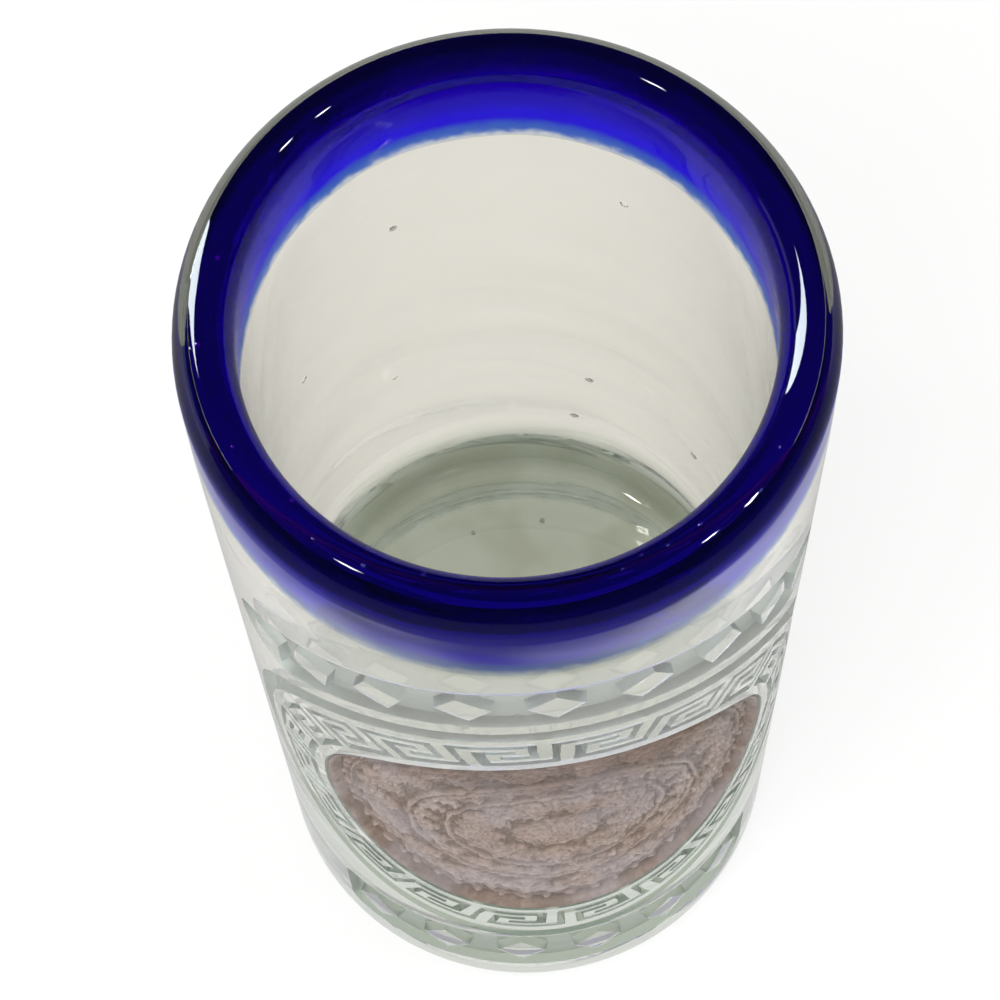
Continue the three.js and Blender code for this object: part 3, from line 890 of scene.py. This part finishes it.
def clear_adhesive():
    """Cured film under the medallion, with small trapped clouds."""
    finish = bpy.context.scene.shot_glass_finish
    material, tree, shader = new_material("clear_adhesive")
    cloud = noise(tree, object_place(tree), 300.0, 3.0)
    dark = tuple(0.8 * part for part in finish.adhesive)
    feed(tree, shader, Base_Color=mixed(tree, cloud.step(0.4, 0.65), dark, finish.adhesive),
         Roughness=0.25 + 0.3 * cloud)
    return material


def pale_floor(stage):
    """Pale floor, white in a straight look, warmer through glass, and uneven in reflections."""
    material, tree, shader = new_material("pale_floor", Roughness=0.9, Specular_IOR_Level=0.0)
    place = object_place(tree)
    paper = noise(tree, place, 40.0, 2.0)
    feed(tree, shader, Base_Color=mixed(tree, 0.03 * paper, stage.floor, (1.0, 1.0, 1.0)))
    straight, shine, through = ray_kinds(tree)
    x, y, _ = xyz(tree, place)
    near = (x * x + y * y).power(0.5).step(*BRIGHT_REACH, BRIGHT_TONE, DARK_TONE)
    near = (near * y.step(*REAR_FADE, 1.0, REAR_TONE)).top(y.step(*FAR_FADE, 0.0, FAR_TONE))
    grey = add_node(tree, "ShaderNodeCombineColor", Red=near, Green=near, Blue=near).outputs[0]
    tone = mixed(tree, through, (1.0, 1.0, 1.0), stage.floor_through)
    glow = add_node(tree, "ShaderNodeEmission", Strength=1.0, Color=mixed(tree, shine, tone, grey))
    mix = tree.nodes.new("ShaderNodeMixShader")
    plug(tree, mix.inputs[0], straight * STRAIGHT_GLOW + through * THROUGH_GLOW + shine * SHINE_GLOW)
    plug(tree, mix.inputs[1], shader.outputs[0])
    plug(tree, mix.inputs[2], glow.outputs[0])
    feed(tree, tree.nodes["Material Output"], Surface=mix.outputs[0])
    return material


# Pieces

class SHOTGLASS_OT_clear_body(bpy.types.Operator):
    """Clear body: heavy base, wall with the carved front, and the casing outside the lip"""
    bl_idname = "shot_glass.clear_body"
    bl_label = "Clear Body"

    def execute(self, context):
        p = Profile(context.scene)
        rows, start = body_rows(p)
        vertices, faces, row_of, column_of, angles = turned(rows, BODY_COLUMNS)
        inner = np.zeros(len(vertices), bool)
        for face, row in zip(faces, row_of):
            if row >= start["seam"]:
                inner[list(face)] = True
        z = vertices[:, 2]
        p.follow_edge(vertices, inner & (z < p.lip_centre_z) & (z > p.foot_z - FADE))

        first, last = FRONT_COLUMNS
        front, front_faces, frosts = carved_front(p, angles[first:last + 1])
        in_rows = (row_of >= start["wall"]) & (row_of < start["neck"] - 1)
        kept = ~(in_rows & (column_of >= first) & (column_of < last))
        # Material slots, in the order in which new_piece gets them
        bare, seam, carved, wall = range(4)
        is_seam = (row_of >= start["seam"]) & (row_of < start["bore"])
        is_wall = (row_of >= start["corner"]) & (row_of < start["neck"])
        slots = list(np.select((is_seam, is_wall), (seam, wall), bare)[kept])
        slots += [carved if max(frosts[i] for i in face) > FROST_LEVEL else wall for face in front_faces]
        faces = [face for face, keep in zip(faces, kept) if keep]
        faces += [tuple(i + len(vertices) for i in face) for face in front_faces]
        body = new_piece("clear_body_glass", [*vertices, *front], faces,
                         (clear_glass("clear_glass", 1.0), fused_seam("clear_seam"),
                          clear_glass("carved_glass", CARVED_CLEARNESS, carved=True),
                          clear_glass("wall_glass", WALL_CLEARNESS)), slots)
        weld(body.data)
        body.data.set_sharp_from_angle(angle=SMOOTH_ANGLE)
        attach(body, "root")
        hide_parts("clear_body")
        return {"FINISHED"}


class SHOTGLASS_OT_cobalt_lip(bpy.types.Operator):
    """Cobalt lip: crown of the mouth and the wedge that runs out down the inside"""
    bl_idname = "shot_glass.cobalt_lip"
    bl_label = "Cobalt Lip"

    def execute(self, context):
        p = Profile(context.scene)
        form = p.form
        rows = p.seam(form.seam, SEAM_STEPS)[::-1]
        rows[0] = (rows[0][0], rows[0][1] + form.seam)
        rows += p.lip(form.casing_angle + form.seam / form.lip_half_height, math.pi, CROWN_STEPS)
        foot = p.foot_z + form.seam
        rows += [(p.bore(z), z) for z in np.linspace(p.lip_centre_z, foot, SEAM_STEPS + 1)[1:]]
        vertices, faces, row_of, _, _ = turned(rows, LIP_COLUMNS, closed=True)
        run = self.run_of(p, vertices)
        p.follow_edge(vertices, vertices[:, 2] < p.lip_centre_z)
        is_seam = (row_of <= SEAM_STEPS) | (row_of == len(rows) - 1)
        lip = new_piece("cobalt_lip_glass", vertices, faces,
                        (cobalt_glass(), fused_seam("cobalt_seam", cobalt_run_group())), is_seam)
        lip.data.attributes.new("run", "FLOAT", "POINT").data.foreach_set("value", run.astype(np.float32))
        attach(lip, "root")
        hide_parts("cobalt_lip")
        return {"FINISHED"}

    def run_of(self, p, vertices):
        """Run of the blue: 0 at the feather edge, 1 at the lip's centre height, and more over the crown."""
        z, radius = vertices[:, 2], np.hypot(vertices[:, 0], vertices[:, 1])
        rise = (z - p.foot_z) / (p.lip_centre_z - p.foot_z)
        turn = np.arctan2((z - p.lip_centre_z) / p.form.lip_half_height,
                          (radius - p.lip_centre_r) / (p.form.lip_thickness / 2))
        run = np.where(z > p.lip_centre_z, 1 + (math.pi - turn) / CROWN_SWEEP, rise)
        is_seam = np.arange(len(vertices)) < (SEAM_STEPS + 1) * LIP_COLUMNS
        return np.where(is_seam, np.interp(rise, *zip(*SEAM_RUN)), run)


class SHOTGLASS_OT_medallion(bpy.types.Operator):
    """Relief medallion: a rosette of leaves and beads on a plate bent to the wall"""
    bl_idname = "shot_glass.medallion"
    bl_label = "Medallion"

    def execute(self, context):
        p = Profile(context.scene)
        form, carving = p.form, p.carving
        back = 2 * carving.film_gap + carving.film - carving.seat_depth
        values = {
            "Radius": carving.medallion_radius, "Back": back, "Plate": carving.plate,
            "Relief": carving.relief, "Rim": -back - carving.plate - RIM_DROP,
            "Centre height": p.badge_z, "Wrap radius": p.badge_r, "Wall radius": form.lip_radius,
            "Wall inset": form.wall_inset, "Neck height": p.neck_z,
        }
        tree = medallion_tree(values, aged_copper())
        host = bpy.data.objects.new("medallion_work", bpy.data.meshes.new("medallion_work"))
        context.scene.collection.objects.link(host)
        modifier = host.modifiers.new("rosette", "NODES")
        modifier.node_group = tree
        for item in tree.interface.items_tree:
            if item.item_type == "SOCKET" and item.in_out == "INPUT":
                modifier[item.identifier] = float(values[item.name])
        host.update_tag()
        made = bpy.data.meshes.new_from_object(host.evaluated_get(context.evaluated_depsgraph_get()))
        host.modifiers.remove(modifier)
        bpy.data.objects.remove(host)
        made.name = "medallion_relief"
        weld(made, turn_out=True)
        made.shade_smooth()
        piece = bpy.data.objects.new("medallion_relief", made)
        context.scene.collection.objects.link(piece)
        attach(piece, "root")
        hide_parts("medallion")
        return {"FINISHED"}


def medallion_tree(names, material):
    """Rosette as a rule: height from the distance and angle at each point, then bent to the wall."""
    tree, inputs, outputs = new_tree("medallion_rosette", "GeometryNodeTree",
                                     [(name, "NodeSocketFloat", 0.0) for name in names],
                                     [("Geometry", "NodeSocketGeometry")])
    size = {name: Value(tree, inputs.outputs[name]) for name in names}
    grid = add_node(tree, "GeometryNodeMeshGrid", Size_X=1.0, Size_Y=1.0,
                    Vertices_X=ROSETTE_RINGS, Vertices_Y=ROSETTE_SPOKES)
    x, y, _ = xyz(tree, tree.nodes.new("GeometryNodeInputPosition").outputs[0])
    t, turn = x + 0.5, y + 0.5
    # Past the face, the grid goes round the edge and folds back under it
    share = (t / FACE_SHARE).least(1.0)
    under = ((t - FACE_SHARE) / (1 - FACE_SHARE) - EDGE_SHARE).top(0.0) / (1 - EDGE_SHARE)
    is_back = t.math("GREATER_THAN", FACE_SHARE + 0.0005)
    reach = share - under
    a = turn * (2 * math.pi)
    around = add_node(tree, "ShaderNodeCombineXYZ", X=reach * a.cos(), Y=reach * a.sin(), Z=0.0).outputs[0]
    # Hand-made drift: the rosette sways a little, and its rim stays round
    drift = noise(tree, around, 9.0, 3.0) - 0.5
    rim = reach.step(0.978, 0.990)
    turn = turn + 0.018 * drift
    u = 0.965 * reach + 0.05 * drift * reach.step(0.80, 0.94, 1.0, 0.0)

    def band(low, high, soft=0.012):
        return u.step(low - soft, low + soft) * u.step(high - soft, high + soft, 1.0, 0.0)

    def cell(count, shift=0.0):
        """-1 to 1 across each of count equal parts of the circle."""
        return ((turn * float(count) + shift).frac() - 0.5) * 2.0

    def leaf(count, low, high, shift, sharp):
        """Pointed leaves with a midrib between two radii."""
        along = (u - low) / (high - low)
        width = (along.top(0.0).least(1.0) * math.pi).sin().power(sharp)
        across = cell(count, shift).abs()
        body = (width - across).step(0.0, 0.35)
        rib = across.step(0.03, 0.10, 1.0, 0.0) * 0.25
        vein = ((along * 9.0 - across * 3.0).frac() - 0.5).abs().step(0.10, 0.3) * 0.16
        return band(low, high) * (body * (0.72 - vein) + rib * body)

    def beads(count, radius, bead):
        across = cell(count) * (math.pi / count * radius)
        gap = (across * across + (u - radius) * (u - radius)).power(0.5) / bead
        return (1.0 - gap * gap).top(0.0).power(0.5)

    rise = beads(56, 0.912, 0.024) * 0.8
    for low, high, soft, height in RINGS:
        rise = rise.top(band(low, high, soft) * height)
    for count, low, high, shift, sharp, height in LEAVES:
        rise = rise.top(leaf(count, low, high, shift, sharp) * height)
    steps = (cell(24).abs() * 3.0).math("FLOOR") / 3.0
    fret = (u - (0.475 + steps * 0.10)).step(0.0, 0.012) * band(0.47, 0.585, 0.006)
    rise = rise.top(fret * 0.62)
    dome = (1.0 - (u / 0.19) * (u / 0.19)).top(0.0).power(0.5)
    # What turns with the angle fades out at the centre, where all columns meet in one point
    spread = reach.step(0.0, 0.03)
    pips = (((a * 8.0).sin() * (u * 130.0).sin()).abs() * spread).step(0.1, 0.8)
    rise = rise.top(dome * (0.75 + 0.25 * pips))
    worn = noise(tree, around, 26.0, 4.0) - 0.5
    strokes = (u * 210.0 + drift * 26.0 + 2.0 * (a * 5.0).sin() * spread).sin()
    ground = 0.10
    rise = (rise.top(ground) + worn * 0.34 + strokes * 0.18).top(0.0).least(1.0)

    front = size["Back"] + size["Plate"] + size["Relief"] * rise * (1.0 - rim) + size["Rim"] * rim
    above = front * (1.0 - is_back) + size["Back"] * is_back
    z = size["Centre height"] + reach * size["Radius"] * a.cos()
    angle = reach * size["Radius"] * a.sin() / size["Wrap radius"]
    r = size["Wall radius"] - size["Wall inset"] * (1.0 - z / size["Neck height"]) + above
    place = add_node(tree, "ShaderNodeCombineXYZ", X=r * angle.sin(), Y=-(r * angle.cos()), Z=z)
    wear = (rise * (1.0 - rim) + (worn * 1.2 + 0.35) * rim) * (1.0 - is_back)
    kept = add_node(tree, "GeometryNodeStoreNamedAttribute", {"data_type": "FLOAT", "domain": "POINT"},
                    Geometry=grid.outputs["Mesh"], Name="rise", Value=wear)
    moved = add_node(tree, "GeometryNodeSetPosition", Geometry=kept.outputs[0], Position=place.outputs[0])
    merged = add_node(tree, "GeometryNodeMergeByDistance", Geometry=moved.outputs[0], Distance=MERGE)
    real = add_node(tree, "GeometryNodeRealizeInstances", Geometry=merged.outputs[0])
    finished = add_node(tree, "GeometryNodeSetMaterial", Geometry=real.outputs[0], Material=material)
    feed(tree, outputs, Geometry=finished.outputs[0])
    return tree


class SHOTGLASS_OT_bonding_film(bpy.types.Operator):
    """Bonding film: the thin bed that holds the medallion in its seat"""
    bl_idname = "shot_glass.bonding_film"
    bl_label = "Bonding Film"

    def execute(self, context):
        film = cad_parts["bonding_film"]
        film.data.materials.clear()
        film.data.materials.append(clear_adhesive())
        return {"FINISHED"}


# Stage

class SHOTGLASS_OT_stage(bpy.types.Operator):
    """Pale floor, soft lamps and the camera"""
    bl_idname = "shot_glass.stage"
    bl_label = "Stage"

    def execute(self, context):
        scene, stage = context.scene, context.scene.shot_glass_stage
        low, high = -FLOOR_HALF, FLOOR_HALF
        corners = [(x, y, -FLOOR_DROP) for x, y in ((low, low), (high, low), (high, high), (low, high))]
        floor = new_piece("floor", corners, [(0, 1, 2, 3)], (pale_floor(stage),))
        self.camera(scene, stage)
        self.lamps(scene)
        self.world(scene, stage)
        scene.view_settings.view_transform = "Standard"
        for name, bounces in BOUNCES.items():
            setattr(scene.cycles, name, bounces)
        return {"FINISHED"}

    def camera(self, scene, stage):
        data = bpy.data.cameras.new("camera")
        data.sensor_width, data.lens = SENSOR_WIDTH, stage.lens
        data.clip_start, data.clip_end = 0.01, 20.0
        ahead = Vector((0, math.cos(stage.elevation), -math.sin(stage.elevation)))
        right = Vector((1, 0, 0))
        up = right.cross(ahead)
        x = math.cos(stage.roll) * right + math.sin(stage.roll) * up
        y = -math.sin(stage.roll) * right + math.cos(stage.roll) * up
        place = Matrix((x, y, -ahead)).transposed().to_4x4()
        place.translation = Vector((stage.aim_side, 0, stage.aim_height)) - ahead * stage.distance
        camera = bpy.data.objects.new("camera", data)
        camera.matrix_world = Matrix.Rotation(stage.turn, 4, "Z") @ place
        scene.collection.objects.link(camera)
        scene.camera = camera

    def lamps(self, scene):
        for lamp in LAMPS:
            data = bpy.data.lights.new(lamp.name, "AREA")
            data.shape, data.size, data.size_y = "RECTANGLE", lamp.wide, lamp.tall
            data.energy, data.color = lamp.power, lamp.colour
            a, e = math.radians(lamp.around), math.radians(lamp.up)
            ray = Vector((math.sin(a) * math.cos(e), -math.cos(a) * math.cos(e), math.sin(e)))
            light = bpy.data.objects.new(lamp.name, data)
            light.location = LAMP_AIM + ray * lamp.away
            light.rotation_euler = (-ray).to_track_quat("-Z", "Y").to_euler()
            light.visible_diffuse, light.visible_glossy = lamp.in_diffuse, lamp.in_gloss
            light.visible_camera, light.visible_transmission = False, False
            scene.collection.objects.link(light)

    def world(self, scene, stage):
        world = bpy.data.worlds.new("studio")
        world.use_nodes = True
        tree = world.node_tree
        straight, shine, through = ray_kinds(tree)
        colour = mixed(tree, shine, stage.world, stage.world_mirrored)
        colour = mixed(tree, straight.top(through), colour, stage.world_seen)
        feed(tree, tree.nodes["Background"], Color=colour)
        scene.world = world


class SHOTGLASS_PT_panel(bpy.types.Panel):
    """Sizes, colours and pieces of the shot glass"""
    bl_idname = "SHOTGLASS_PT_panel"
    bl_label = "Shot Glass"
    bl_space_type = "VIEW_3D"
    bl_region_type = "UI"
    bl_category = "Shot Glass"

    def draw(self, context):
        column = self.layout.column()
        for operator in OPERATORS:
            column.operator(operator.bl_idname)
        for group in GROUPS:
            settings = getattr(context.scene, group)
            for name in settings.bl_rna.properties.keys():
                if name not in ("rna_type", "name"):
                    column.prop(settings, name)


GROUPS = {
    "shot_glass_form": ShotGlassForm,
    "shot_glass_carving": ShotGlassCarving,
    "shot_glass_finish": ShotGlassFinish,
    "shot_glass_stage": ShotGlassStage,
}
OPERATORS = (
    SHOTGLASS_OT_clear_body,
    SHOTGLASS_OT_cobalt_lip,
    SHOTGLASS_OT_bonding_film,
    SHOTGLASS_OT_medallion,
    SHOTGLASS_OT_stage,
)


def register():
    for cls in (*GROUPS.values(), *OPERATORS, SHOTGLASS_PT_panel):
        bpy.utils.register_class(cls)
    for name, cls in GROUPS.items():
        setattr(bpy.types.Scene, name, bpy.props.PointerProperty(type=cls))


def unregister():
    for name in GROUPS:
        delattr(bpy.types.Scene, name)
    for cls in (SHOTGLASS_PT_panel, *reversed(OPERATORS), *reversed(GROUPS.values())):
        bpy.utils.unregister_class(cls)


def main():
    register()
    bpy.ops.shot_glass.clear_body()
    bpy.ops.shot_glass.cobalt_lip()
    bpy.ops.shot_glass.bonding_film()
    bpy.ops.shot_glass.medallion()
    bpy.ops.shot_glass.stage()


if __name__ == "__main__":
    main()
